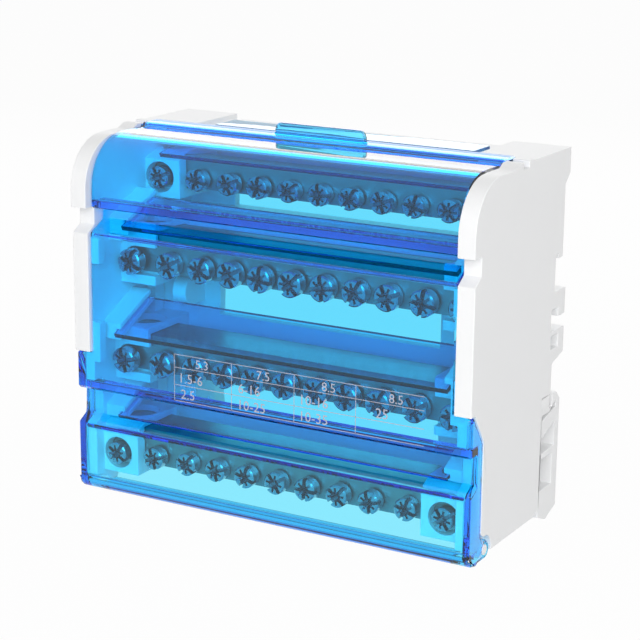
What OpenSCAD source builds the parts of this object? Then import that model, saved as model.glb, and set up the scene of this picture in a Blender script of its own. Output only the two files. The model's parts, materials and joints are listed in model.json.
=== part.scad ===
/* [Housing] */
// Width of the block over both side plates
block_w = 100; // [94:1:120]
// Thickness of each side plate
plate_t = 4; // [3:0.25:4.5]
// Height of the top deck above the feet of the side plates
deck_z = 81.7; // [81:0.1:90]
// Thickness of the top deck
deck_t = 2.5; // [1.5:0.1:2.6]
// How far the deck is lowered between its two raised ends
deck_dip = 1.3; // [0.8:0.1:1.6]
// Half width of the lowered part of the deck
dip_half_w = 36; // [34:0.5:44]
// Radius of the rounded front top corner of the side plates
nose_r = 11.5; // [8:0.5:13]
// How far that rounded nose stands in front of the plates
nose_out = 0.5; // [0:0.1:1]
// Height of the lower end of the nose
nose_foot_z = 65.5; // [64:0.5:66.5]
// Height of the front of the side plates just under the nose
chest_z = 60.7; // [60:0.1:61.5]
// Depth of the notch between nose and chest
notch_d = 2.75; // [1:0.25:4]
// Depth from the front of the plates to the face that sits on the rail
rail_seat_y = 41.3; // [41.3:0.1:50]
// Thickness of the rear wall and of the wall behind the top bar
wall_t = 2.4; // [1.5:0.1:3]
// Depth of the front of the lower rear wall
rear_wall_y = 28; // [28:0.1:29]
// Distance of the windows' right edges from the middle
window_right_x = 29; // [20:0.5:33]
// Distance of the left edge of the window behind the first bar from the middle
window_1_left_x = 33.5; // [12:0.5:34]
// Distance of the left edge of the window behind the second bar from the middle
window_2_left_x = 28; // [12:0.5:29]
// Distance of the left edge of the window behind the third bar from the middle
window_3_left_x = 31.5; // [12:0.5:33]
// Width of the lowered deck left free on each side of the clear guard plate
guard_inset = 2.8; // [1:0.1:6]
// Length of the clear guard plate, front to rear
guard_l = 8.2; // [6:0.1:9]
// Thickness of the clear guard plate
guard_t = 0.8; // [0.6:0.1:1.2]

/* [Rail] */
// Height of the top edge of the seated rail
rail_top_z = 58.8; // [58.8:0.1:59.2]
// Height of the rail, edge to edge
rail_h = 35; // [34.8:0.1:35.2]
// Gap between the seat and the lip that holds the rail's top edge
rail_gap = 1.5; // [1.2:0.1:2]
// How far the lips and lugs reach behind the seat
lug_reach = 5.8; // [4.5:0.1:6.4]

/* [Cover] */
// Wall thickness of the clear cover
cover_t = 1.5; // [1.2:0.1:1.8]
// Depth of the cover's front face behind the front of the plates
cover_y = 0.6; // [0.4:0.1:0.8]
// Height of the cover's top behind its riser
cover_top_z = 82.2; // [82:0.1:84]
// Depth at which the cover's top steps up
riser_y = 21.3; // [18:0.1:22]
// Depth at which the cover's top ends
cover_rear_y = 27.6; // [26.4:0.1:27.6]
// Height below which the cover is as wide as the block
wide_z = 31.9; // [31:0.1:33]
// Wall thickness of the cover's lowest panel, in front of the fourth bar
low_panel_t = 0.8; // [0.7:0.1:1.2]
// Depth of the upper groove across the cover
upper_groove_d = 4.7; // [3:0.1:4.9]
// Depth of the lower groove across the cover
lower_groove_d = 3.1; // [2:0.1:3.2]
// Height of the top edge of the lower groove
lower_groove_top_z = 23.2; // [22:0.1:24]
// Height of the bottom edge of the lower groove
lower_groove_foot_z = 15.2; // [14.6:0.1:16]
// Depth of the cover's hinge axis
hinge_y = 8.7; // [8.5:0.1:9.2]
// Height of the cover's hinge axis
hinge_z = 0.9; // [0.8:0.1:1.4]
// Radius of the cover's round hinge boss
boss_r = 2.2; // [2:0.1:2.4]
// Radius of the hinge pin
pin_r = 1.2; // [1:0.05:1.4]
// Depth of the rear edge of the cover's side flanges
flange_y = 6.2; // [5:0.1:6.4]
// Width of the finger tab on top of the cover
tab_w = 23; // [15:0.5:40]
// Height of the finger tab above the cover's top
tab_h = 2.6; // [2:0.1:6]

/* [Bars] */
// Depth of each bar from its front face to its back
bar_d = 12; // [11.4:0.1:12]
// Height of each bar
bar_h = 8; // [7:0.1:8]
// How far each bar reaches below the axis of its screws
bar_drop = 2.5; // [2.4:0.1:2.8]
// Depth of the front face of the first, top bar
bar_1_y = 26.8; // [26.4:0.1:28]
// Depth of the front face of the second bar
bar_2_y = 14.8; // [14:0.1:15.6]
// Depth of the front face of the third bar
bar_3_y = 12; // [11:0.1:13]
// Depth of the front face of the fourth, bottom bar
bar_4_y = 8.4; // [8.2:0.1:9]
// Height of the screw axes of the first bar
row_1_z = 69.5; // [69:0.1:70]
// Height of the screw axes of the second bar
row_2_z = 51.7; // [50.5:0.1:52]
// Height of the screw axes of the third bar
row_3_z = 29; // [28:0.1:29.2]
// Height of the screw axes of the fourth bar
row_4_z = 7.5; // [7.2:0.1:8.4]
// Distance from way to way in the middle of each bar
way_pitch = 7.9; // [7.4:0.1:8]
// Distance of the first and last way from the side plate beside it
end_way_inset = 4; // [3.8:0.1:4.2]
// Distance from the first and last way to the next one
end_way_step = 9.6; // [9.4:0.1:10.4]
// Diameter of the seven small wire holes
small_way_d = 5.3; // [4:0.1:5.6]
// Diameter of the two wide wire holes
wide_way_d = 7.5; // [6:0.1:7.8]
// Diameter of the two end wire holes
end_way_d = 8.5; // [7:0.1:8.6]
// Thickness of metal left over the wire holes, which are blind
way_roof = 1.2; // [0.8:0.1:1.6]

/* [Screws] */
// Diameter of the screw heads on the first bar
head_1_d = 5.4; // [5:0.1:6]
// Diameter of the screw heads on the second bar
head_2_d = 6; // [5:0.1:6.2]
// Diameter of the screw heads on the third bar
head_3_d = 6; // [5:0.1:6.2]
// Diameter of the screw heads on the fourth bar
head_4_d = 5.2; // [5:0.1:6]
// Length of the screw heads
head_l = 3; // [2:0.1:3.4]
// Extra length of the heads of the end screws
end_head_extra = 1.1; // [0:0.1:1.3]
// Radius of the screws' thread
thread_r = 2; // [1.6:0.05:2]
// Depth of the cross slots
slot_depth = 1.2; // [0.6:0.1:1.6]

/* [Bar holders] */
// Width of each bar holder, measured in from the side plate
holder_w = 9.5; // [9:0.1:9.8]
// Thickness of the holders' spine
spine_t = 2.4; // [1.5:0.1:2.6]
// How far the holders' faces stand in front of the second and third bar
slot_wall = 1.2; // [0.8:0.1:2]
// How far the holders' faces stand in front of the first and fourth bar
hole_wall = 3.2; // [2:0.1:3.2]

/* [Barriers] */
// Thickness of the clear barrier sheets
sheet_t = 1.2; // [0.8:0.1:1.4]
// Half width of the barrier sheets
sheet_half_w = 42.2; // [42:0.1:43]
// Angle at which the barrier sheets rise to the rear
sheet_angle = 25; // [22:1:26]
// Length of the first, top sheet along its slope
sheet_1_l = 8; // [6:0.1:8.2]
// Length of the second sheet along its slope
sheet_2_l = 13; // [10:0.1:13.4]
// Length of the third sheet along its slope
sheet_3_l = 14.3; // [10:0.1:14.6]
// Length of the fourth sheet along its slope
sheet_4_l = 9.8; // [8:0.1:10]

/* [Rail clips] */
// Width of each rail clip, measured in from the side of the block
clip_w = 10.6; // [9.6:0.1:13]
// Height of the top of the rail clips
clip_top_z = 26.7; // [26:0.1:26.7]
// How far the tips of the clips reach below the feet
clip_drop = 2.7; // [2:0.1:4]
// How far a rail clip can be pulled down
clip_travel = 4; // [2:0.1:5]

/* [Hidden] */
$fn = 48;

white = "white";
clear_blue = [0.1, 0.55, 0.9, 0.5];
brass = "goldenrod";
steel = "silver";

// clearances
seat_gap = 0.2;      // between pieces that lie in or on each other
move_gap = 0.3;      // between the cover or a clip and what it moves past
thread_gap = 0.05;   // radial, between a thread and its hole
pin_gap = 0.05;      // radial, between a hinge pin and its bore

half_w = block_w / 2;
inner_x = half_w - plate_t;             // inner face of the side plates
holder_x = inner_x - holder_w;          // inner face of the bar holders
bar_half_w = inner_x - move_gap;
end_way_x = inner_x - end_way_inset;
wide_way_x = end_way_x - end_way_step;
way_wall = 1.2;                         // least metal between two wire holes
// small ways on each side of the middle one: as many as fit before the wide way
small_side_count = floor((wide_way_x - wide_way_d / 2 - small_way_d / 2 - way_wall) / way_pitch);
rear_y = rail_seat_y + lug_reach;       // rearmost point of the lugs
way_y = bar_d / 2 + 0.4;                // wire holes' axis behind a bar's face
bar_y = [bar_1_y, bar_2_y, bar_3_y, bar_4_y];
row_z = [row_1_z, row_2_z, row_3_z, row_4_z];
head_d = [head_1_d, head_2_d, head_3_d, head_4_d];

nose_y = nose_r - nose_out;             // centre of the nose's arc
plate_top_z = deck_z - 0.7;             // top of the plates over the nose
nose_z = plate_top_z - nose_r;
low_front_y = cover_y + cover_t + move_gap;   // plates' front behind the wide cover
foot_front_y = 11;
clip_front_y = rail_seat_y - 4.5;       // front of the rail clips
clip_notch_y = clip_front_y - move_gap; // plates' rear edge beside the clips
foot_rear_y = clip_notch_y - 2;
clip_notch_z = clip_top_z + move_gap;
channel_top_z = clip_top_z - 2.4;       // top of the channel inside the rail clips
guide_top_z = channel_top_z - clip_travel - move_gap;
guide_head_x = half_w - 7;              // inner face of the guides' wide head
lug_front_y = rail_seat_y - 1.3;        // front of the pockets in the lugs
upper_wall_y = rail_seat_y + rail_gap;  // front of the lip and the upper rear wall
shelf_z = 58.2;                         // top of the shelf between the rear walls
shelf_t = 1.8;
under_deck_z = deck_z - deck_t;

bar_foot_z = [for (z = row_z) z - bar_drop];
bar_top_z = [for (z = bar_foot_z) z + bar_h];

// front top edges of the four barrier sheets, set from the bars that they cover
sheet_y = [bar_1_y - 3.1, bar_2_y - 6.8, bar_3_y - 7.2, bar_4_y - 2.7];
sheet_z = [bar_top_z[0] + 0.6, bar_top_z[1] + 2.7, bar_top_z[2] + 1.7, bar_top_z[3] + 3.2];
sheet_l = [sheet_1_l, sheet_2_l, sheet_3_l, sheet_4_l];
ledge_t = 1.2;                          // thickness of the ledges over and under the sheets
ledge_inner_x = sheet_half_w - 1.2;     // the ledges reach this far under the sheets' ends

cover_arc_r = nose_r - 0.1;
cover_arc_y = cover_y + 0.6 + cover_arc_r;
cover_low_top_z = plate_top_z + 0.3;    // cover's top in front of the riser
cover_arc_z = cover_low_top_z - cover_arc_r;
cover_foot_z = hinge_z - boss_r;        // lowest point of the cover
groove_slant = 1.8;                     // height of the grooves' slanted lower side
groove_rear_y = cover_y + lower_groove_d + cover_t;   // inside of the lower groove's back
tab_y = 25;
tab_t = 1.2;
tab_foot_z = max(cover_top_z, cover_low_top_z);   // the tab stands on the cover's highest part

// Moves everything from the build origin, at the plates' front and feet, to the
// frame's origin: the middle of the box that the whole block fills, at its bottom.
module in_frame() {
  translate([0, -(rear_y + 0.3 - nose_out) / 2, clip_drop]) children();
}

// Extrudes an outline drawn in depth and height from x0 to x1 across the block.
module across(x0, x1) {
  translate([x0, 0, 0]) rotate([90, 0, 90]) linear_extrude(x1 - x0) children();
}

module both_sides() {
  children();
  mirror([1, 0, 0]) children();
}

// A rectangle from one corner to the other.
module rect(a, b) {
  translate(a) square([b[0] - a[0], b[1] - a[1]]);
}

// A box from one corner to the other.
module box(a, b) {
  translate(a) cube([b[0] - a[0], b[1] - a[1], b[2] - a[2]]);
}

// A round bar along the depth, from y0 to y1.
module rod_y(x, z, y0, y1, r) {
  translate([x, y0, z]) rotate([-90, 0, 0]) cylinder(h = y1 - y0, r = r);
}

// ---- side plates ----

module nose_outline() {
  intersection() {
    union() {
      translate([nose_y, nose_z]) circle(nose_r, $fn = 96);
      rect([-nose_out, nose_foot_z], [nose_y, nose_z]);
      rect([nose_y, nose_foot_z], [nose_y + nose_r, plate_top_z]);
    }
    rect([-nose_out, nose_foot_z], [nose_y + nose_r, plate_top_z]);
  }
}

module rail_side_cuts() {
  lip_z = rail_top_z - 1.2;
  upper_lug_top = rail_top_z - 8.5;
  upper_lug_foot = rail_top_z - 14.5;
  lower_lug_top = rail_top_z - 17.4;
  lower_lug_foot = rail_top_z - 25;
  out = rear_y + 2;
  // behind the deck: step down to the lip's back
  polygon([[rear_y + 0.3, deck_z - 5.7], [rear_y - 2.1, deck_z - 7.7], [rear_y - 2.1, lip_z],
           [out, lip_z], [out, deck_z - 5.7]]);
  // rail's top edge behind the lip
  rect([rail_seat_y, upper_lug_top], [upper_wall_y, rail_top_z]);
  rect([rail_seat_y, upper_lug_top], [out, lip_z]);
  // upper lug's pocket and the space between the lugs
  rect([lug_front_y, lower_lug_top], [rail_seat_y + 2.4, upper_lug_foot + 2.1]);
  rect([lug_front_y, lower_lug_top], [out, upper_lug_foot]);
  // pocket in the lower lug, and its slanted foot
  rect([lug_front_y + 0.1, lower_lug_top - 4.1], [rail_seat_y + 2.8, lower_lug_top - 1]);
  polygon([[rail_seat_y, lower_lug_foot], [rear_y, lower_lug_foot + 1.6], [out, lower_lug_foot + 1.6],
           [out, -1], [rail_seat_y, -1]]);
  // room for the rail clip
  rect([clip_notch_y, -1], [out, clip_notch_z]);
}

module plate_outline() {
  difference() {
    union() {
      nose_outline();
      polygon([[low_front_y, boss_r], [low_front_y, wide_z + move_gap], [0, wide_z + move_gap],
               [0, chest_z - 1], [notch_d, chest_z + 0.8], [notch_d, nose_foot_z],
               [nose_y + 5, nose_foot_z], [nose_y + 5, plate_top_z], [riser_y - 3.3, plate_top_z],
               [riser_y - 1.3, deck_z + 0.3], [cover_rear_y - 0.8, deck_z + 0.3],
               [cover_rear_y - 0.2, deck_z], [rear_y + 0.3, deck_z],
               [rear_y + 0.3, 0], [foot_front_y, 0], [hinge_y, 0]]);
      translate([hinge_y, hinge_z]) circle(boss_r);
    }
    rail_side_cuts();
    // notch over the riser of the cover
    rect([riser_y + 0.7, deck_z - 1.2], [cover_rear_y - 2.7, deck_z + 1]);
    // foot sloping up to the clip
    polygon([[foot_rear_y, -1], [foot_rear_y, 0], [clip_notch_y + 1, 1.6], [clip_notch_y + 1, -1]]);
  }
}

// Outline of the cover's side flange with its round hinge boss, grown all round.
module flange_outline(grow) {
  front_r = 3;
  top_z = wide_z - 6.4;
  polygon([[cover_y - grow, cover_foot_z + front_r], [cover_y - grow, wide_z + grow],
           [cover_y + 1 + grow, wide_z + grow], [flange_y + grow, top_z + grow / 2],
           [flange_y + grow, hinge_z + boss_r + 1.6 + grow], [hinge_y, hinge_z + boss_r + grow],
           [hinge_y, cover_foot_z - grow], [cover_y + front_r, cover_foot_z - grow]]);
  translate([cover_y + front_r, cover_foot_z + front_r]) circle(front_r + grow);
  translate([hinge_y, hinge_z]) circle(boss_r + grow);
}

module side_plate() {
  difference() {
    across(inner_x, half_w) plate_outline();
    // recess in which the cover's flange lies and its boss turns
    across(half_w - cover_t - seat_gap, half_w + 1) {
      flange_outline(move_gap);
      translate([hinge_y, hinge_z]) circle(boss_r + 0.9);
    }
    // the front stays behind the wide part of the cover
    across(inner_x - 1, half_w + 1) difference() {
      rect([-2, boss_r + hinge_z], [groove_rear_y + 1, wide_z + move_gap]);
      cover_skin(cover_t + move_gap);
    }
  }
  // pin for the cover's hinge
  translate([half_w - cover_t - 0.7, hinge_y, hinge_z]) rotate([0, 90, 0])
    cylinder(h = cover_t + 0.7, r = pin_r);
}

// Ribs just behind the cover that keep the bar holders from sliding out.
module holder_stops() {
  for (z = [[row_3_z + 0.5, row_3_z + 10], [row_2_z + 0.8, row_2_z + 6.8]])
    box([inner_x - 1.7, low_front_y, z[0]], [inner_x + 0.5, low_front_y + 2.4, z[1]]);
}

// Sloping ledges on the inner face of the side plate that hold the ends of the second,
// third and fourth barrier sheet from above and from below.
module sheet_ledges() {
  for (i = [1:3]) {
    intersection() {
      sheet_slab(i, [ledge_inner_x, inner_x + 0.5], [0, sheet_l[i] + 1.2],
                 [-sheet_t - seat_gap - ledge_t, seat_gap + ledge_t]);
      // the ledges start behind the sheet's front edge
      box([0, sheet_y[i] + 1.2, bar_top_z[i] + (i == 3 ? 2 : 0)], [half_w, rear_y, deck_z]);
    }
  }
}

// Slots for the sheets' ends in the ledges, and in the side plates if the sheets reach them.
module sheet_slots() {
  for (i = [0:3])
    sheet_slab(i, [0, sheet_half_w + seat_gap], [-1, sheet_l[i] + 2.2], [-sheet_t - seat_gap, seat_gap]);
}

// ---- rear of the housing ----

module deck() {
  difference() {
    box([-inner_x - 0.5, cover_rear_y + move_gap, under_deck_z], [inner_x + 0.5, rear_y + 0.3, deck_z]);
    box([-dip_half_w, 0, deck_z - deck_dip], [dip_half_w, rear_y + 1, deck_z + 1]);
  }
}

module upper_wall() {
  difference() {
    box([-inner_x - 0.5, upper_wall_y, rail_top_z - 1.2], [inner_x + 0.5, rear_y - 2.1, under_deck_z + 1]);
    box([-window_1_left_x, 0, rail_top_z + 1.2], [window_right_x, rear_y, bar_foot_z[0] - 0.6]);
  }
  // ceiling over the rail's top edge, and the shelf that runs forward from it
  box([-inner_x - 0.5, rail_seat_y - 2.3, rail_top_z], [inner_x + 0.5, upper_wall_y + 0.5, rail_top_z + 1.2]);
  box([-inner_x - 0.5, rail_seat_y - 2.3, shelf_z - shelf_t], [inner_x + 0.5, rail_seat_y, rail_top_z + 0.6]);
  box([-inner_x - 0.5, rear_wall_y, shelf_z - shelf_t], [inner_x + 0.5, rail_seat_y - 2, shelf_z]);
}

module lower_wall() {
  difference() {
    box([-inner_x - 0.5, rear_wall_y, 2], [inner_x + 0.5, rear_wall_y + wall_t, shelf_z - 0.5]);
    box([-window_3_left_x, 0, bar_top_z[3] + 1], [window_right_x, rear_y, bar_foot_z[2] - 2.4]);
    box([-window_2_left_x, 0, bar_top_z[2] + 2.5], [window_right_x, rear_y, bar_foot_z[1] - 2]);
  }
}

// Round boss behind the second bar and square block behind the third, left of the windows.
module cable_stops() {
  root_x = -holder_x + 0.6;
  boss_z = bar_foot_z[1] - 5.4;
  cable_boss_r = 3.4;
  boss_end_x = -window_2_left_x - 4.3;
  stop_y = rear_wall_y - 5;
  wall_y = rear_wall_y + 0.5;
  translate([root_x, stop_y, boss_z]) rotate([0, 90, 0]) cylinder(h = boss_end_x - root_x, r = cable_boss_r);
  box([root_x, stop_y, boss_z - cable_boss_r], [boss_end_x, wall_y, boss_z + cable_boss_r]);
  box([root_x, stop_y - 1, bar_top_z[3] + 2.8], [-window_3_left_x, wall_y, bar_foot_z[2] - 2.6]);
}

// Upright that a rail clip slides on; its head is wider than its neck.
module clip_guide() {
  box([guide_head_x, rail_seat_y - 3, 1.2], [inner_x + 0.5, rail_seat_y - 0.6, guide_top_z]);
  box([guide_head_x + 1.2, rear_wall_y + 1, 1.2], [inner_x + 0.5, rail_seat_y - 2.5, guide_top_z]);
}

module base_housing() {
  color(white) in_frame() {
    both_sides() difference() {
      union() {
        side_plate();
        holder_stops();
        sheet_ledges();
      }
      sheet_slots();
    }
    both_sides() clip_guide();
    deck();
    upper_wall();
    lower_wall();
    cable_stops();
  }
}

// ---- bar holders ----

// Lowest, highest, foremost and rearmost faces of the block that holds bar i.
function block_foot(i) = bar_foot_z[i] - (i == 0 || i == 3 ? 2.4 : 3);
function block_top(i) = i == 0 ? under_deck_z - seat_gap : bar_top_z[i] + 1.8;
function block_front(i) = bar_y[i] - (i == 0 || i == 3 ? hole_wall : slot_wall);
function block_rear(i) = i == 0 ? bar_y[0] + bar_d + 1.6
                       : i == 3 ? bar_y[3] + bar_d + 2
                       : rear_wall_y - seat_gap;

module holder_block(i) {
  difference() {
    box([holder_x, block_front(i), block_foot(i)], [inner_x, block_rear(i), block_top(i)]);
    // the bar's seat, open on both sides
    bar_seat(i);
    // the block stays under the barrier sheet and its ledges
    under_z = -sheet_t - seat_gap - (i == 0 ? 0 : ledge_t + seat_gap);
    sheet_slab(i, [holder_x - 1, inner_x + 1], [-bar_d, 3 * bar_d], [under_z, 2 * bar_h]);
    // wires come up to the end way
    translate([end_way_x, bar_y[i] + way_y, 0]) cylinder(h = 2 * deck_z, r = end_way_d / 2 + 0.3);
    // the end screw's opening: a hole in the first and fourth block, a slot in the others
    if (i == 0 || i == 3) {
      rod_y(end_way_x, row_z[i], 0, bar_y[i] + 1, min(head_d[i] / 2 + 1.15, inner_x - end_way_x - 0.15));
    } else {
      rod_y(end_way_x, row_z[i], 0, bar_y[i] + 1, head_d[i] / 2 + 0.3);
      box([holder_x - 1, 0, row_z[i] - head_d[i] / 2 - 0.3],
          [end_way_x, bar_y[i] + 1, row_z[i] + head_d[i] / 2 + 0.3]);
    }
  }
}

module bar_seat(i) {
  box([holder_x - 1, bar_y[i] - seat_gap, bar_foot_z[i] - seat_gap],
      [inner_x + 1, bar_y[i] + bar_d + seat_gap, bar_top_z[i] + seat_gap]);
}

module right_holder_shape() {
  spine_y = rear_wall_y - 4;
  for (i = [0:3]) holder_block(i);
  // spine that joins the blocks
  difference() {
    box([inner_x - spine_t, spine_y, block_foot(3)], [inner_x, rear_wall_y - seat_gap, block_foot(0) + 1]);
    for (i = [0:3]) bar_seat(i);
  }
  // foot that joins the lowest block to the spine
  box([inner_x - spine_t, bar_y[3], block_foot(3)],
      [inner_x, rear_wall_y - seat_gap, bar_foot_z[3] - seat_gap]);
}

module right_bar_holder() {
  color(white) in_frame() right_holder_shape();
}

module left_bar_holder() {
  color(white) in_frame() mirror([1, 0, 0]) right_holder_shape();
}

// ---- bars and screws ----

small_ways = [for (n = [-small_side_count:small_side_count]) [n * way_pitch, small_way_d]];
large_ways = [for (s = [-1, 1]) for (way = [[end_way_x, end_way_d], [wide_way_x, wide_way_d]])
              [s * way[0], way[1]]];

module busbar(i) {
  color(brass) in_frame() difference() {
    box([-bar_half_w, bar_y[i], bar_foot_z[i]], [bar_half_w, bar_y[i] + bar_d, bar_top_z[i]]);
    for (way = concat(small_ways, large_ways)) {
      translate([way[0], bar_y[i] + way_y, bar_foot_z[i] - 1])
        cylinder(h = bar_h - way_roof + 1, r = way[1] / 2);
      rod_y(way[0], row_z[i], bar_y[i] - 1, bar_y[i] + way_y, thread_r + thread_gap);
    }
  }
}

// How far screw number n of bar i is backed out: no two neighbours alike.
function backed_out(i, x) = 0.25 * ((round(abs(x) * 3) + (x > 0 ? 2 : 0) + 3 * i) % 4);

module terminal_screw(i, way) {
  is_end = abs(way[0]) == end_way_x;
  out = is_end ? end_head_extra : backed_out(i, way[0]) * 0.6;
  head_y = bar_y[i] - head_l - out;
  tip_y = bar_y[i] + way_y - way[1] / 2 - 0.15;
  r = head_d[i] / 2;
  turn = 37 * round(way[0]) + 50 * i;
  difference() {
    union() {
      rod_y(way[0], row_z[i], head_y, bar_y[i] - (is_end ? 0 : out), r);
      rod_y(way[0], row_z[i], head_y + 1, tip_y, thread_r);
    }
    translate([way[0], head_y, row_z[i]]) rotate([0, turn, 0]) {
      cube([r * 1.5, 2 * slot_depth, 0.8], center = true);
      cube([0.8, 2 * slot_depth, r * 1.5], center = true);
    }
  }
}

module small_screws(i) {
  color(steel) in_frame() for (way = small_ways) terminal_screw(i, way);
}

module large_screws(i) {
  color(steel) in_frame() for (way = large_ways) terminal_screw(i, way);
}

// ---- barrier sheets ----

// A slab that lies parallel to barrier sheet i. x, y and z are its limits: across the
// block, along the slope from the sheet's front edge, and over the sheet's top face.
module sheet_slab(i, x, y, z) {
  translate([0, sheet_y[i], sheet_z[i]]) rotate([sheet_angle, 0, 0])
    box([x[0], y[0], z[0]], [x[1], y[1], z[1]]);
}

module barrier(i) {
  color(clear_blue) in_frame() sheet_slab(i, [-sheet_half_w, sheet_half_w], [0, sheet_l[i]], [-sheet_t, 0]);
}

module top_guard_plate() {
  guard_half_w = dip_half_w - guard_inset;
  foot_z = deck_z - deck_dip;
  front_y = cover_rear_y + 5.6;
  color(clear_blue) in_frame()
    box([-guard_half_w, front_y, foot_z], [guard_half_w, front_y + guard_l, foot_z + guard_t]);
}

// ---- clear cover ----

// The cover's section between the side plates. inset is the wall's thickness for
// the inner skin and 0 for the outer one.
module cover_skin(inset) {
  g = cover_y + upper_groove_d;
  l = cover_y + lower_groove_d;
  difference() {
    union() {
      // body of the section, filled to the rear
      rect([cover_y + inset, 4], [cover_rear_y + 1, nose_foot_z - 2]);
      rect([cover_y + 0.6 + inset, nose_foot_z + inset], [cover_arc_y, cover_arc_z]);
      rect([g + inset, nose_foot_z - 4], [cover_rear_y + 1, cover_arc_z]);
      intersection() {
        translate([cover_arc_y, cover_arc_z]) circle(cover_arc_r - inset, $fn = 96);
        rect([0, nose_foot_z + inset], [cover_arc_y + 1, deck_z + 2]);
      }
      rect([cover_arc_y, nose_foot_z], [cover_rear_y + 1, cover_low_top_z - inset]);
      rect([riser_y + inset, nose_foot_z], [cover_rear_y + 1, cover_top_z - inset]);
      // rounded bottom edge
      translate([cover_y + 3, cover_foot_z + 3]) circle(3 - inset);
      rect([cover_y + inset, cover_foot_z + 3], [cover_y + 3, 5]);
      rect([cover_y + 3, cover_foot_z + inset], [cover_rear_y + 1, 5]);
    }
    // upper groove: flat top, upright back, slanted foot
    polygon([[-2, nose_foot_z + inset], [g + inset, nose_foot_z + inset],
             [g + inset, chest_z + groove_slant - 0.6 * inset],
             [cover_y + inset, chest_z - 0.6 - 0.6 * inset],
             [-2, chest_z - 1.3 - 0.6 * inset]]);
    // lower groove
    polygon([[-2, lower_groove_top_z + inset], [l + inset, lower_groove_top_z + inset],
             [l + inset, lower_groove_foot_z + groove_slant - 0.6 * inset],
             [cover_y + inset, lower_groove_foot_z - 0.6 * inset],
             [-2, lower_groove_foot_z - 1 - 0.6 * inset]]);
  }
}

module cover_section() {
  difference() {
    cover_skin(0);
    cover_skin(cover_t);
    // open to the rear below the top, and under the top behind the front wall
    rect([cover_rear_y, -boss_r - 3], [cover_rear_y + 5, deck_z + 5]);
    rect([hinge_y - 0.7, -boss_r - 3], [cover_rear_y + 5, 20]);
    // the lowest panel is thinner
    rect([cover_y + low_panel_t, cover_foot_z + 3.5], [cover_y + cover_t + 1, lower_groove_foot_z - 1.4]);
  }
}

// Part of the section that is as wide as the whole block.
module wide_section() {
  intersection() {
    cover_section();
    union() {
      rect([-1, hinge_z + 1.5], [groove_rear_y, wide_z]);
      rect([-1, cover_foot_z - 1], [cover_y + 3.2, wide_z]);
    }
  }
}

module cover_flange() {
  difference() {
    across(half_w - cover_t, half_w) {
      difference() {
        union() {
          intersection() {
            flange_outline(0);
            rect([-1, cover_foot_z - 1], [15, wide_z]);
          }
          rect([cover_y, hinge_z], [cover_y + cover_t, wide_z]);
        }
        // the grooves and the rounded bottom run out through the flange
        difference() {
          rect([-2, cover_foot_z - 1], [groove_rear_y - cover_t, wide_z + 1]);
          cover_skin(0);
        }
      }
    }
    translate([half_w - cover_t - 1, hinge_y, hinge_z]) rotate([0, 90, 0])
      cylinder(h = cover_t + 2, r = pin_r + pin_gap);
  }
}

module finger_tab() {
  r = 1.6;
  translate([0, tab_y, 0]) rotate([90, 0, 0]) linear_extrude(tab_t) {
    rect([-tab_w / 2, tab_foot_z - 0.5], [tab_w / 2, tab_foot_z + tab_h - r]);
    rect([-tab_w / 2 + r, tab_foot_z - 0.5], [tab_w / 2 - r, tab_foot_z + tab_h]);
    for (s = [-1, 1]) translate([s * (tab_w / 2 - r), tab_foot_z + tab_h - r]) circle(r);
  }
}

module front_cover() {
  between = inner_x - seat_gap;
  color(clear_blue) in_frame() {
    across(-between, between) intersection() {
      cover_section();
      rect([-1, hinge_z + 1.5], [cover_rear_y + 1, deck_z + 5]);
    }
    // the bottom stops short of the hinge ears
    across(-between + 0.8, between - 0.8) intersection() {
      cover_section();
      rect([-1, cover_foot_z - 1], [cover_rear_y + 1, hinge_z + 2]);
    }
    across(-half_w, half_w) wide_section();
    both_sides() cover_flange();
    finger_tab();
  }
}

// ---- rail clips ----

module clip_outline() {
  difference() {
    polygon([[clip_front_y, -1], [rail_seat_y, -clip_drop], [rear_y - 0.3, -0.8],
             [rear_y - 0.3, clip_top_z - 2], [rear_y - 2.3, clip_top_z], [clip_front_y, clip_top_z]]);
    // slot for the rail's bottom edge
    rect([rail_seat_y - 0.1, rail_top_z - rail_h - 0.2], [rail_seat_y + 1.2, clip_top_z + 1]);
  }
}

module clip_windows() {
  y = rail_seat_y - 4;
  polygon([[y, 21.6], [y + 7.6, 23.2], [y + 7.6, 24.8], [y + 4, 22.8], [y, 22.8]]);
  polygon([[y - 0.3, 13.8], [y + 7.2, 14.2], [y + 7.2, 20], [y, 17.4]]);
  rect([y - 0.3, 5.2], [y + 6.4, 12.6]);
}

module right_clip_shape() {
  skin_x = inner_x + 0.5 + move_gap;
  difference() {
    across(half_w - clip_w, half_w - 0.1) clip_outline();
    // channel that rides on the housing's guide
    box([guide_head_x - move_gap, rail_seat_y - 3 - move_gap, -4],
        [skin_x, rail_seat_y - 0.6 + move_gap, channel_top_z]);
    box([guide_head_x + 1.2 - move_gap, clip_front_y - 1, -4], [skin_x, rail_seat_y - 2.5, channel_top_z]);
    across(skin_x - 0.5, half_w + 1) clip_windows();
  }
}

module right_rail_clip() {
  color(white) in_frame() right_clip_shape();
}

module left_rail_clip() {
  color(white) in_frame() mirror([1, 0, 0]) right_clip_shape();
}

base_housing();
left_bar_holder();
right_bar_holder();
busbar(0);  // busbar_1
busbar(1);  // busbar_2
busbar(2);  // busbar_3
busbar(3);  // busbar_4
small_screws(0);  // small_screws_1
small_screws(1);  // small_screws_2
small_screws(2);  // small_screws_3
small_screws(3);  // small_screws_4
large_screws(0);  // large_screws_1
large_screws(1);  // large_screws_2
large_screws(2);  // large_screws_3
large_screws(3);  // large_screws_4
barrier(0);  // barrier_1
barrier(1);  // barrier_2
barrier(2);  // barrier_3
barrier(3);  // barrier_4
top_guard_plate();
front_cover();
left_rail_clip();
right_rail_clip();
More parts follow.
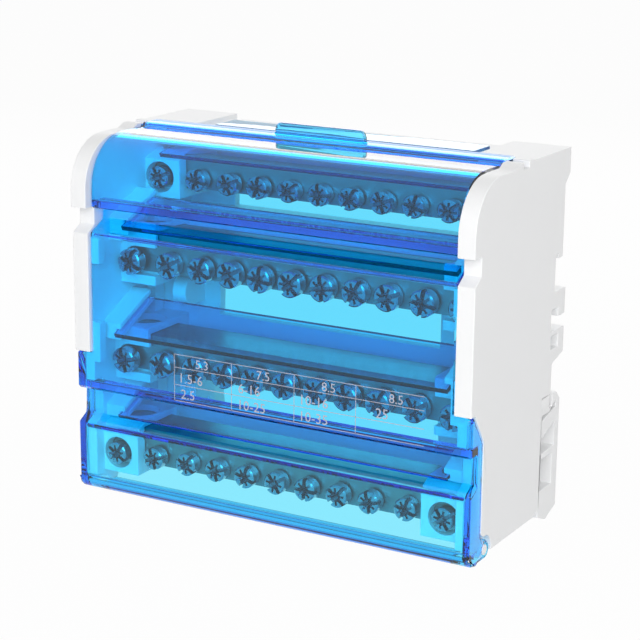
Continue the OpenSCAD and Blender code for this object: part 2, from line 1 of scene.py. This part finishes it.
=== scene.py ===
# %% [markdown]
# # A power distribution block behind a clear blue cover
# The block clips onto a rail in an electrical cabinet. Four brass bars stand in
# steps, one behind the other, and each has a row of screws that clamp wires. The
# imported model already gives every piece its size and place, so this script guesses
# neither: it asks the frame for a piece's box and builds from that.

# %% Load the frame
import json
import math

import bmesh
import bpy
from mathutils import Matrix, Vector


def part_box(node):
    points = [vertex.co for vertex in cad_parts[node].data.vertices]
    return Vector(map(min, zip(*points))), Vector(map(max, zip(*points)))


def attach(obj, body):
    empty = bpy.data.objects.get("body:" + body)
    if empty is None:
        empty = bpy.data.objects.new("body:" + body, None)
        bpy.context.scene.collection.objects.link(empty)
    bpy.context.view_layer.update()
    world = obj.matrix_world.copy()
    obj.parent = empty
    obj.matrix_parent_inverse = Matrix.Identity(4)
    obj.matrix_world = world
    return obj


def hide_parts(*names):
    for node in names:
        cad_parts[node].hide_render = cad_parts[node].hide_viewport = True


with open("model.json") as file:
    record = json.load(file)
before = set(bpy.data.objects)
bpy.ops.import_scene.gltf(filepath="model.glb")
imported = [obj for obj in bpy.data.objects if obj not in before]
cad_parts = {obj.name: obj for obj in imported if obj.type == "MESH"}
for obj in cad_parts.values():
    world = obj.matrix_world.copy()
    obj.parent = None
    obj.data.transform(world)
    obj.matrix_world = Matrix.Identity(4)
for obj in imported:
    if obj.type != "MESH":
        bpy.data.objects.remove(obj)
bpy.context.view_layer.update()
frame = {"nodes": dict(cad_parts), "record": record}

MM = 0.001
nodes = frame["nodes"]

# %% [markdown]
# ## Camera
# A long lens a few tens of centimetres away keeps the upright edges nearly
# parallel, so that the block's proportions read true. A camera could be aimed by
# hand, but its azimuth and elevation round a target in the middle of the block say
# more plainly where it stands. It is then rolled a little.

# %% Camera
AZIMUTH, ELEVATION, ROLL = math.radians(29.65), math.radians(14.77), math.radians(0.59)
TARGET = Vector((0.0, 1.55, 43.33)) * MM
DISTANCE = 439.96 * MM
LENS_MM = 109.5


def direction(azimuth, elevation):
    """Unit vector away from the block. Azimuth 0 is straight in front of it."""
    return Vector((math.sin(azimuth) * math.cos(elevation),
                   -math.cos(azimuth) * math.cos(elevation),
                   math.sin(elevation)))


towards_camera = direction(AZIMUTH, ELEVATION)
camera = bpy.data.objects.new("camera", bpy.data.cameras.new("camera"))
bpy.context.scene.collection.objects.link(camera)
bpy.context.scene.camera = camera
camera.data.lens = LENS_MM
camera.data.clip_start = 0.01
camera.location = TARGET + towards_camera * DISTANCE
aim = (-towards_camera).to_track_quat("-Z", "Y")
camera.rotation_euler = (aim.to_matrix() @ Matrix.Rotation(ROLL, 3, "Z")).to_euler()
print("camera at", [round(v, 4) for v in camera.location])

# %% [markdown]
# ## Shader maths as Python
# A node graph is easier to read as an expression. `Wire` wraps a socket, so that
# `noise * 0.2 + 0.4` adds the two Math nodes by itself. The reflected forms let the
# number stand first, as in `0.4 + noise`. Every other node comes from `add`, which
# sets the node's own choices first and its sockets after. A keyword names the
# socket, and `_0` or `_6` means its number where several share a name.

# %% Shader helper
class Wire:
    """A socket of a material's node tree that can be used in sums."""

    def __init__(self, socket):
        self.socket = socket
        self.tree = socket.id_data

    def _math(self, operation, a, b):
        node = self.tree.nodes.new("ShaderNodeMath")
        node.operation = operation
        for socket, value in zip(node.inputs, (a, b)):
            plug(self.tree, socket, value)
        return Wire(node.outputs[0])

    def __add__(self, other): return self._math("ADD", self, other)
    def __radd__(self, other): return self._math("ADD", other, self)
    def __mul__(self, other): return self._math("MULTIPLY", self, other)
    def __rmul__(self, other): return self._math("MULTIPLY", other, self)


def plug(tree, socket, value):
    """Links a wire to a socket, or writes a plain value on it."""
    if isinstance(value, Wire):
        tree.links.new(value.socket, socket)
    elif isinstance(value, (tuple, list)) and socket.type == "RGBA" and len(value) == 3:
        socket.default_value = (*value, 1)
    else:
        socket.default_value = value


def add(tree, kind, output=0, settings=None, **sockets):
    """Adds a node, with its settings first, and returns one of its outputs."""
    node = tree.nodes.new("ShaderNode" + kind)
    for name, value in (settings or {}).items():
        setattr(node, name, value)
    for name, value in sockets.items():
        key = int(name[1:]) if name[0] == "_" and name[1:].isdigit() else name.replace("_", " ")
        plug(tree, node.inputs[key], value)
    return Wire(node.outputs[output])


print("wrapper for sums:", Wire.__name__)

# %% Empty material and its output
def blank(name):
    """A material whose tree holds only its output, and the tree."""
    mat = bpy.data.materials.new(name)
    mat.use_nodes = True
    mat.node_tree.nodes.clear()
    mat.node_tree.nodes.new("ShaderNodeOutputMaterial")
    return mat, mat.node_tree


def finish_material(mat, surface, volume=None):
    """Links the shaders to the material's output and returns the material."""
    out = next(n for n in mat.node_tree.nodes if n.type == "OUTPUT_MATERIAL")
    mat.node_tree.links.new(surface.socket, out.inputs["Surface"])
    if volume is not None:
        mat.node_tree.links.new(volume.socket, out.inputs["Volume"])
    return mat


print("material helpers:", blank.__name__, finish_material.__name__)

# %% [markdown]
# ## White moulded plastic
# The housing is moulded in bright white nylon with a fine spark-eroded grain: no
# gloss, only a soft sheen. Fine noise moves the roughness and a small bump, which
# shows where light grazes the side plates. Coarse noise moves the white a little.
# Noise is chosen over an image, because it needs no file and has no seams.

# %% White plastic
def white_plastic():
    mat, tree = blank("white_moulded_plastic")
    place = add(tree, "TexCoord", "Object")
    grain = add(tree, "TexNoise", "Fac", Vector=place, Scale=5200.0, Detail=2.0)
    cloud = add(tree, "TexNoise", "Fac", Vector=place, Scale=60.0, Detail=3.0)
    bump = add(tree, "Bump", Height=grain, Strength=0.12, Distance=0.06 * MM)
    tone = add(tree, "Mix", 2, {"data_type": "RGBA"}, _0=cloud,
               _6=(0.875, 0.88, 0.885), _7=(0.9, 0.905, 0.91))
    shader = add(tree, "BsdfPrincipled", Base_Color=tone, Roughness=grain * 0.1 + 0.42,
                 Normal=bump, IOR=1.5)
    return finish_material(mat, shader)


WHITE = white_plastic()
print(WHITE.name)

# %% [markdown]
# ## Clear blue polycarbonate
# A clear tinted moulding gets most of its colour inside: light loses red and some
# green on its way through the wall. A Volume Absorption node does just that, so
# thin walls look sky blue, and edges, where the eye looks along the wall, turn navy.
# The price is paid at the cover's ends: seen from the side, light runs so far along
# the wall that they turn nearly black, darker than the real moulding.
# Refraction would keep lamps from lighting what is behind the cover, so for shadow
# rays the surface is plainly transparent, and only the volume dims the light.

# %% Clear blue plastic
DENSITY_MARGIN = 1.02  # keeps every channel of the volume's colour above 0


def absorption(per_mm):
    """Colour and density of a volume with these coefficients per mm.

    After x mm a channel with the coefficient k keeps exp(-k * x) of its light.
    """
    density = max(per_mm) / MM * DENSITY_MARGIN
    return tuple(1 - k / MM / density for k in per_mm), density


def clear_blue(name, tint, per_mm):
    mat, tree = blank(name)
    colour, density = absorption(per_mm)
    place = add(tree, "TexCoord", "Object")
    ripple = add(tree, "TexNoise", "Fac", Vector=place, Scale=170.0, Detail=1.0)
    bump = add(tree, "Bump", Height=ripple, Strength=0.05, Distance=0.1 * MM)
    glass = add(tree, "BsdfPrincipled", Base_Color=tint, Roughness=0.0, IOR=1.5, Normal=bump)
    glass.socket.node.inputs["Transmission Weight"].default_value = 1
    clear = add(tree, "BsdfTransparent", Color=(1, 1, 1))
    is_shadow = add(tree, "LightPath", "Is Shadow Ray")
    surface = add(tree, "MixShader", _0=is_shadow, _1=glass, _2=clear)
    volume = add(tree, "VolumeAbsorption", Color=colour, Density=density)
    return finish_material(mat, surface, volume)


BLUE = clear_blue("clear_blue_polycarbonate", (0.6, 0.96, 1.0), (1.1, 0.19, 0.005))
print(BLUE.name)

# %% [markdown]
# ## Plated brass and zinc-plated steel
# The bars are sawn and milled from brass and then tin plated, so they are a dull
# grey with fine lines along their length: noise stretched along X. The screws are
# turned and zinc plated, smoother and bluer, with a faint cloudy passivation. Little
# light gets into the pressed recess of each head, so its steel is made darker. One
# function makes all three, since they differ only in colour, gloss and stretch.

# %% Metals
def metal(name, dark, light, roughness, scale, stretch):
    mat, tree = blank(name)
    place = add(tree, "TexCoord", "Object")
    squeezed = add(tree, "VectorMath", 0, {"operation": "MULTIPLY"}, _0=place, _1=stretch)
    marks = add(tree, "TexNoise", "Fac", Vector=squeezed, Scale=scale, Detail=4.0)
    cloud = add(tree, "TexNoise", "Fac", Vector=place, Scale=250.0, Detail=2.0)
    tone = add(tree, "Mix", 2, {"data_type": "RGBA"}, _0=cloud, _6=dark, _7=light)
    bump = add(tree, "Bump", Height=marks, Strength=0.12, Distance=0.04 * MM)
    shader = add(tree, "BsdfPrincipled", Base_Color=tone, Metallic=1.0,
                 Roughness=marks * 0.16 + roughness, Normal=bump)
    return finish_material(mat, shader)


ALONG_X, EVEN = (0.06, 1, 1), (1, 1, 1)
PLATED = metal("tin_plated_brass", (0.3, 0.3, 0.3), (0.4, 0.4, 0.39),
               0.34, 2600.0, ALONG_X)
ZINC = metal("zinc_plated_steel", (0.32, 0.37, 0.44), (0.48, 0.53, 0.6),
             0.1, 1500.0, EVEN)
# painted shade: the recess gets darker steel because little light reaches it
RECESS_SHADE_STEEL = metal("zinc_steel_painted_recess_shade", (0.12, 0.15, 0.2), (0.22, 0.26, 0.32),
                0.2, 1500.0, EVEN)
print(PLATED.name, ZINC.name, RECESS_SHADE_STEEL.name)

# %% [markdown]
# ## Rounded edges
# No moulded or milled edge is truly sharp: a thin rounding catches the light and
# draws the outline of every piece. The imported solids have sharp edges, so each one
# is copied, its flat triangles are merged into larger convex faces, and a Bevel
# modifier rounds every edge that turns by more than 30 degrees. A face with a notch
# or a window is first cut into convex ones, because a bevel can close the window.
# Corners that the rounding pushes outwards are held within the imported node's box.
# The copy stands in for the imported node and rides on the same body.

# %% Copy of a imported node
BODY_OF = {node: body for body, members in frame["record"]["behaviour"]["bodies"].items()
           for node in members}


def clean_mesh(node):
    """The node's mesh in a bmesh, with shared corners and whole flat faces."""
    edit = bmesh.new()
    edit.from_mesh(nodes[node].data)
    bmesh.ops.remove_doubles(edit, verts=edit.verts, dist=1e-6)
    bmesh.ops.dissolve_limit(edit, angle_limit=math.radians(1), verts=edit.verts, edges=edit.edges)
    return edit


def plain_object(name, edit):
    """An object made from a bmesh, in the scene."""
    mesh = bpy.data.meshes.new(name)
    edit.to_mesh(mesh)
    edit.free()
    obj = bpy.data.objects.new(name, mesh)
    bpy.context.scene.collection.objects.link(obj)
    return obj


def new_piece(name, edit, mat, node):
    """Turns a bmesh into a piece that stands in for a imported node."""
    piece = plain_object(name, edit)
    piece.data.materials.append(mat)
    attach(piece, BODY_OF[node])
    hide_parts(node)
    return piece


# %% Rounding and shading
ROUND_ABOVE, SHARP_ABOVE = math.radians(30), math.radians(38)


def apply_modifiers(piece):
    """Keeps what the piece's modifiers make and drops the modifiers."""
    bpy.context.view_layer.update()
    graph = bpy.context.evaluated_depsgraph_get()
    mesh = bpy.data.meshes.new_from_object(piece.evaluated_get(graph))
    piece.modifiers.clear()
    piece.data = mesh


def smooth_shading(piece):
    """Smooth shading in which each large flat face keeps its own true normal."""
    piece.data.shade_smooth()
    piece.data.set_sharp_from_angle(angle=SHARP_ABOVE)
    weighted = piece.modifiers.new("flat_faces", "WEIGHTED_NORMAL")
    weighted.mode = "FACE_AREA"
    weighted.weight = 100
    weighted.keep_sharp = True
    apply_modifiers(piece)


def rounded(node, width, mat, segments=2):
    """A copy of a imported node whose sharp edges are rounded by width, in mm."""
    edit = clean_mesh(node)
    bmesh.ops.connect_verts_concave(edit, faces=edit.faces)
    piece = new_piece(node + "_rounded", edit, mat, node)
    bevel = piece.modifiers.new("rounding", "BEVEL")
    bevel.width = width * MM
    bevel.segments = segments
    bevel.limit_method = "ANGLE"
    bevel.angle_limit = ROUND_ABOVE
    bevel.use_clamp_overlap = False
    bevel.miter_outer = "MITER_ARC"
    apply_modifiers(piece)
    low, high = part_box(node)
    for vert in piece.data.vertices:
        vert.co = [min(max(vert.co[k], low[k]), high[k]) for k in range(3)]
    smooth_shading(piece)
    return len(piece.data.polygons)


print("edges over", round(math.degrees(ROUND_ABOVE)), "degrees are rounded")

# %% Round every piece but the screws
rounded_faces = 0
for name in nodes:
    if name == "base_housing" or name.endswith("rail_clip"):
        rounded_faces += rounded(name, 0.2, WHITE)
    elif name.endswith("bar_holder"):
        rounded_faces += rounded(name, 0.12, WHITE)
    elif name.startswith("busbar"):
        rounded_faces += rounded(name, 0.05, PLATED, segments=1)
    elif name.startswith("barrier") or name == "top_guard_plate":
        rounded_faces += rounded(name, 0.12, BLUE)
    elif name == "front_cover":
        rounded_faces += rounded(name, 0.45, BLUE, segments=1)
print(rounded_faces, "faces")

# %% [markdown]
# ## Terminal screws
# Each row has eleven screws with cylinder heads. A combined recess is pressed into
# the head: a cross that runs out through the rim, four shorter rays between its arms
# and a hollow in the middle. A bump couldn't give the recess its depth, so a master
# screw is turned from an outline and three Booleans cut the recess. It gets no
# bevel, because rounding what a Boolean leaves makes the head look like a blob.

# %% Screw outline
HEAD_R, HEAD_L, SHANK_R, PITCH, THREAD_DEPTH = 3.0, 2.9, 2.0, 0.7, 0.3
FRONT_EDGE, REAR_EDGE, NECK = (0.3, 0.25), 0.2, 0.3
TIP_L, TIP_TAPER, TIP_ROOM = 0.35, 0.6, 0.4


def screw_outline(length):
    """Points of the screw's outline: radius and distance from its face, in mm."""
    root_r = SHANK_R - THREAD_DEPTH
    outline = [(HEAD_R - FRONT_EDGE[0], 0), (HEAD_R, FRONT_EDGE[1]),
               (HEAD_R, HEAD_L - REAR_EDGE), (HEAD_R - REAR_EDGE, HEAD_L), (root_r, HEAD_L)]
    y = HEAD_L + NECK
    while y + PITCH < length - TIP_ROOM:
        outline += [(root_r, y), (SHANK_R, y + PITCH * 0.45), (root_r, y + PITCH * 0.9)]
        y += PITCH
    return outline + [(root_r, length - TIP_L), (SHANK_R - TIP_TAPER, length)]


def revolve(outline, steps):
    """A closed bmesh turned from points (radius, y) round the Y axis, with flat ends."""
    edit = bmesh.new()
    rings = [[edit.verts.new((radius * MM * math.cos(2 * math.pi * k / steps), y * MM,
                              radius * MM * math.sin(2 * math.pi * k / steps)))
              for k in range(steps)] for radius, y in outline]
    for a, b in zip(rings, rings[1:]):
        for k in range(steps):
            m = (k + 1) % steps
            edit.faces.new((a[k], a[m], b[m], b[k]))
    edit.faces.new(rings[0])
    edit.faces.new(rings[-1])
    bmesh.ops.recalc_face_normals(edit, faces=edit.faces)
    return edit


print("head", 2 * HEAD_R, "mm wide, thread", 2 * SHANK_R, "mm")

# %% [markdown]
# ## The recess
# Two pairs of crossed blocks cut the long and the short rays, and a small cone cuts
# the hollow. The faces inside are told from the head's face and rim by their place,
# and get the darker steel, which is painted shade for the little light in the recess.

# %% Recess and master screw
HOLLOW = [(1.5, -0.5), (1.4, 0.1), (0.6, 2.0)]
HEAD_STEPS, HOLLOW_STEPS = 40, 20


def grooves(turns, length, width, depth):
    """Cutting blocks laid across the head, one for each turn in degrees."""
    edit = bmesh.new()
    for turn in turns:
        groove = bmesh.ops.create_cube(edit, size=1.0)["verts"]
        shape = Matrix.Rotation(math.radians(turn), 4, "Y") @ Matrix.Diagonal(
            (length * MM, 2 * depth * MM, width * MM, 1))
        bmesh.ops.transform(edit, matrix=shape, verts=groove)
    return edit


def cut(piece, tool):
    """Takes the tool's shape out of the piece."""
    boolean = piece.modifiers.new("recess", "BOOLEAN")
    boolean.operation = "DIFFERENCE"
    boolean.solver = "EXACT"
    boolean.use_self = True
    boolean.object = tool
    apply_modifiers(piece)


def in_recess(face):
    """Whether a face of the master lies in the recess, off the head's face and rim."""
    x, y, z = face.center / MM
    outwards = Vector((x, 0, z)).normalized()
    return (0.02 < y < HEAD_L - 0.1 and math.hypot(x, z) < HEAD_R - 0.16
            and abs(outwards.dot(face.normal)) < 0.99)


def screw_master(length):
    """The mesh of one screw of this length, its recess in the second material, darker as painted
    shade.
    """
    master = plain_object("screw_master", revolve(screw_outline(length), HEAD_STEPS))
    for edit in (grooves((0, 90), HEAD_R * 2.4, 1.0, 1.6),
                 grooves((45, 135), HEAD_R * 1.55, 0.6, 0.9),
                 revolve(HOLLOW, HOLLOW_STEPS)):
        tool = plain_object("recess_tool", edit)
        cut(master, tool)
        bpy.data.objects.remove(tool)
    mesh = master.data
    for face in mesh.polygons:
        # painted shade: recess faces take the second, darker steel
        face.material_index = int(in_recess(face))
    bpy.data.objects.remove(master)
    return mesh


print("recess: 4 long rays, 4 short rays and a hollow")

# %% [markdown]
# ## Screws in their places
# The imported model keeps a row's screws in one node, each as a loose island of its
# mesh. Reading each island's box gives the screws' places without guessing. A copy
# of the master goes to each box, turned a little further every time, since no two
# screws are ever tightened to the same angle.

# %% Place the screws
SCREW_SHARP = math.radians(24)
TURN_EACH, TURN_ROW, TURN_FIRST = 37, 50, 15


def islands(node):
    """Lowest and highest corner of each loose solid of a node, from left to right."""
    edit = clean_mesh(node)
    left, boxes = set(edit.verts), []
    while left:
        group, edge = set(), [left.pop()]
        while edge:
            vert = edge.pop()
            group.add(vert)
            for link in vert.link_edges:
                other = link.other_vert(vert)
                if other in left:
                    left.remove(other)
                    edge.append(other)
        boxes.append(([min(v.co[k] for v in group) for k in range(3)],
                      [max(v.co[k] for v in group) for k in range(3)]))
    edit.free()
    return sorted(boxes)


def seat_screws(node, row):
    """Copies a master screw to every place of the node's screws."""
    places = islands(node)
    master = screw_master(min(high[1] - low[1] for low, high in places) / MM)
    edit = bmesh.new()
    for k, (low, high) in enumerate(places):
        grow = min((high[0] - low[0]) / 2 / (HEAD_R * MM), 1.0)
        turn = math.radians(TURN_EACH * k + TURN_ROW * row + TURN_FIRST)
        place = (Matrix.Translation(((low[0] + high[0]) / 2, low[1], (low[2] + high[2]) / 2))
                 @ Matrix.Rotation(turn, 4, "Y") @ Matrix.Diagonal((grow, 1, grow, 1)))
        before = len(edit.verts)
        edit.from_mesh(master)
        edit.verts.ensure_lookup_table()
        bmesh.ops.transform(edit, matrix=place, verts=edit.verts[before:])
    piece = new_piece(node + "_cut", edit, ZINC, node)
    # the second material is darker steel, painted shade for the recesses
    piece.data.materials.append(RECESS_SHADE_STEEL)
    piece.data.shade_smooth()
    piece.data.set_sharp_from_angle(angle=SCREW_SHARP)
    print(node, len(places), "screws,", len(piece.data.polygons), "faces")


for row in range(1, 5):
    for size in ("small", "large"):
        seat_screws(f"{size}_screws_{row}", row)

# %% [markdown]
# ## Print on the cover
# Grey ink is printed on the front of the cover: a small ruled table of wire sizes
# with plain numbers in it. An image could carry it, but thin raised ink just in front
# of the cover's face stays sharp at any distance and rides with the cover. Its place
# is measured from the cover's own box, whose lowest point lies 1.3 mm below the feet
# of the side plates.

# %% Ink and where it lies
def ink():
    mat, tree = blank("grey_ink")
    place = add(tree, "TexCoord", "Object")
    speck = add(tree, "TexNoise", "Fac", Vector=place, Scale=4000.0, Detail=2.0)
    tone = add(tree, "Mix", 2, {"data_type": "RGBA"}, _0=speck,
               _6=(0.4, 0.41, 0.5), _7=(0.5, 0.51, 0.6))
    return finish_material(mat, add(tree, "BsdfPrincipled", Base_Color=tone, Roughness=0.6))


INK = ink()
INK_GAP, COVER_BELOW_FEET = 0.02, 1.3
cover_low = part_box("front_cover")[0]
FACE_Y = cover_low[1] - INK_GAP * MM
FOOT_Z = cover_low[2] + COVER_BELOW_FEET * MM


def printed(name, obj):
    """Names an object, inks it and lets it ride on the cover."""
    obj.name = name
    obj.data.materials.clear()
    obj.data.materials.append(INK)
    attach(obj, "cover")


print("print laid on the cover at y =", round(FACE_Y, 5))

# %% Ruled lines
COLUMNS = (-23.3, -8.3, 7.6, 22.7, 39.0)
TABLE_ROWS = (24.3, 28.0, 32.0, 35.0)
LINE_W, LINE_T = 0.14, 0.015


def ruled_table(columns, rows, line_w):
    """Thin blocks for the table's lines. The right side stays open."""
    edit = bmesh.new()
    strips = [((columns[0], z), (columns[-1], z + line_w)) for z in rows]
    strips += [((x, rows[0]), (x + line_w, rows[-1])) for x in columns[:-1]]
    for (x0, z0), (x1, z1) in strips:
        block = bmesh.ops.create_cube(edit, size=1.0)["verts"]
        size = Matrix.Diagonal(((x1 - x0) * MM, LINE_T * MM, (z1 - z0) * MM, 1))
        middle = Matrix.Translation(((x0 + x1) / 2 * MM, FACE_Y, (z0 + z1) / 2 * MM + FOOT_Z))
        bmesh.ops.transform(edit, matrix=middle @ size, verts=block)
    printed("printed_table", plain_object("printed_table", edit))


ruled_table(COLUMNS, TABLE_ROWS, LINE_W)
print(len(COLUMNS) - 1, "columns,", len(TABLE_ROWS) - 1, "rows")

# %% Numbers
CAP_TO_SIZE = 1.38  # the font's size over the height of its numbers
NUMBERS = (  # height over the feet, height of the numbers, then x and words
    (32.5, 2.1, ((-17.7, "5.3"), (-1.9, "7.5"), (14.4, "8.5"), (30.6, "8.5"))),
    (28.7, 2.3, ((-22.2, "1.5-6"), (-6.6, "6-16"), (8.8, "10-16"), (27.5, "25"))),
    (25.0, 2.3, ((-21.6, "2.5"), (-6.8, "10-25"), (8.8, "10-35"))),
)


def printed_number(words, x, z, height):
    """A number as thin raised ink, turned from text into a mesh."""
    text = bpy.data.curves.new("number", "FONT")
    text.body = words
    text.size = height * CAP_TO_SIZE * MM
    text.extrude = 0.007 * MM
    text.resolution_u = 2
    obj = bpy.data.objects.new("number", text)
    bpy.context.scene.collection.objects.link(obj)
    obj.rotation_euler = (math.radians(90), 0, 0)
    obj.location = (x * MM, FACE_Y, z * MM + FOOT_Z)
    bpy.context.view_layer.update()
    graph = bpy.context.evaluated_depsgraph_get()
    mesh = bpy.data.meshes.new_from_object(obj.evaluated_get(graph))
    mesh.transform(obj.matrix_world)
    bpy.data.objects.remove(obj)
    flat = bpy.data.objects.new("number", mesh)
    bpy.context.scene.collection.objects.link(flat)
    label = words.replace(".", "_").replace("-", "_to_")
    printed(f"printed_{label}_{round(x + 50)}_{round(z)}", flat)


for z, height, row in NUMBERS:
    for x, words in row:
        printed_number(words, x, z, height)
print(sum(len(row) for z, height, row in NUMBERS), "numbers")

# %% [markdown]
# ## Floor and backdrop
# The block hangs on a rail in use, so the floor lies 45 mm below it, which leaves the
# cover room to swing down. A white floor under plain lamps comes out grey. Brighter
# lamps would burn out the white plates, so the floor glows by itself instead, but
# only when seen straight on, in a mirror or through the cover. It keeps a little of
# its own shading for the block's soft shadow. The world does the same for what lies
# behind the block.

# %% Floor
FLOOR_BELOW, FLOOR_HALF, GLOW_SHARE = 45, 8.0, 0.96


def is_seen(tree):
    """1 or more for what is seen straight on, mirrored or through plastic, else 0.

    A ray through plastic can carry two of these marks. Mix Shader cuts the sum to 1.
    """
    return (add(tree, "LightPath", "Is Camera Ray") + add(tree, "LightPath", "Is Glossy Ray")
            + add(tree, "LightPath", "Is Transmission Ray"))


edit = bmesh.new()
bmesh.ops.create_grid(edit, x_segments=1, y_segments=1, size=FLOOR_HALF)
floor = plain_object("floor", edit)
floor.location.z = -FLOOR_BELOW * MM
mat, tree = blank("white_floor")
paper = add(tree, "BsdfDiffuse", Color=(0.9, 0.9, 0.9))
glow = add(tree, "Emission", Color=(1, 1, 1), Strength=1.0)
shader = add(tree, "MixShader", _0=is_seen(tree) * GLOW_SHARE, _1=paper, _2=glow)
floor.data.materials.append(finish_material(mat, shader))
print("floor", FLOOR_BELOW, "mm below the block")

# %% World
world = bpy.data.worlds.new("studio")
bpy.context.scene.world = world
world.use_nodes = True
tree = world.node_tree
tree.nodes.clear()
out = tree.nodes.new("ShaderNodeOutputWorld")
backdrop = add(tree, "Background", Color=(1, 1, 1), Strength=1.0)
fill = add(tree, "Background", Color=(1, 1, 1), Strength=0.4)
mix = add(tree, "MixShader", _0=is_seen(tree), _1=fill, _2=backdrop)
tree.links.new(mix.socket, out.inputs["Surface"])
print("world", world.name)

# %% [markdown]
# ## Lamps
# Three soft boxes give the white plates their slight steps: a strong one from nearly
# the camera's direction, which also reaches the bars behind the cover, a weaker one
# from the right and one from behind for the deck. A large soft box is chosen over a
# spot, because its shadows have no hard edge.

# %% Lamps
def softbox(name, azimuth, elevation, distance, size, power):
    """An area lamp aimed at the block: angles in degrees, metres and watts."""
    lamp = bpy.data.lights.new(name, "AREA")
    lamp.shape = "RECTANGLE"
    lamp.size, lamp.size_y = size
    lamp.energy = power
    obj = bpy.data.objects.new(name, lamp)
    bpy.context.scene.collection.objects.link(obj)
    way = direction(math.radians(azimuth), math.radians(elevation))
    obj.location = TARGET + way * distance
    obj.rotation_euler = (-way).to_track_quat("-Z", "Y").to_euler()
    obj.visible_camera = False
    print(name, power, "W")


softbox("key_softbox", 22, 22, 0.9, (0.7, 0.5), 4.6)
softbox("side_softbox", 70, 25, 1.0, (0.5, 0.5), 1.3)
softbox("back_softbox", 205, 24, 0.8, (1.2, 0.35), 2.2)
bpy.context.scene.view_settings.view_transform = "Standard"
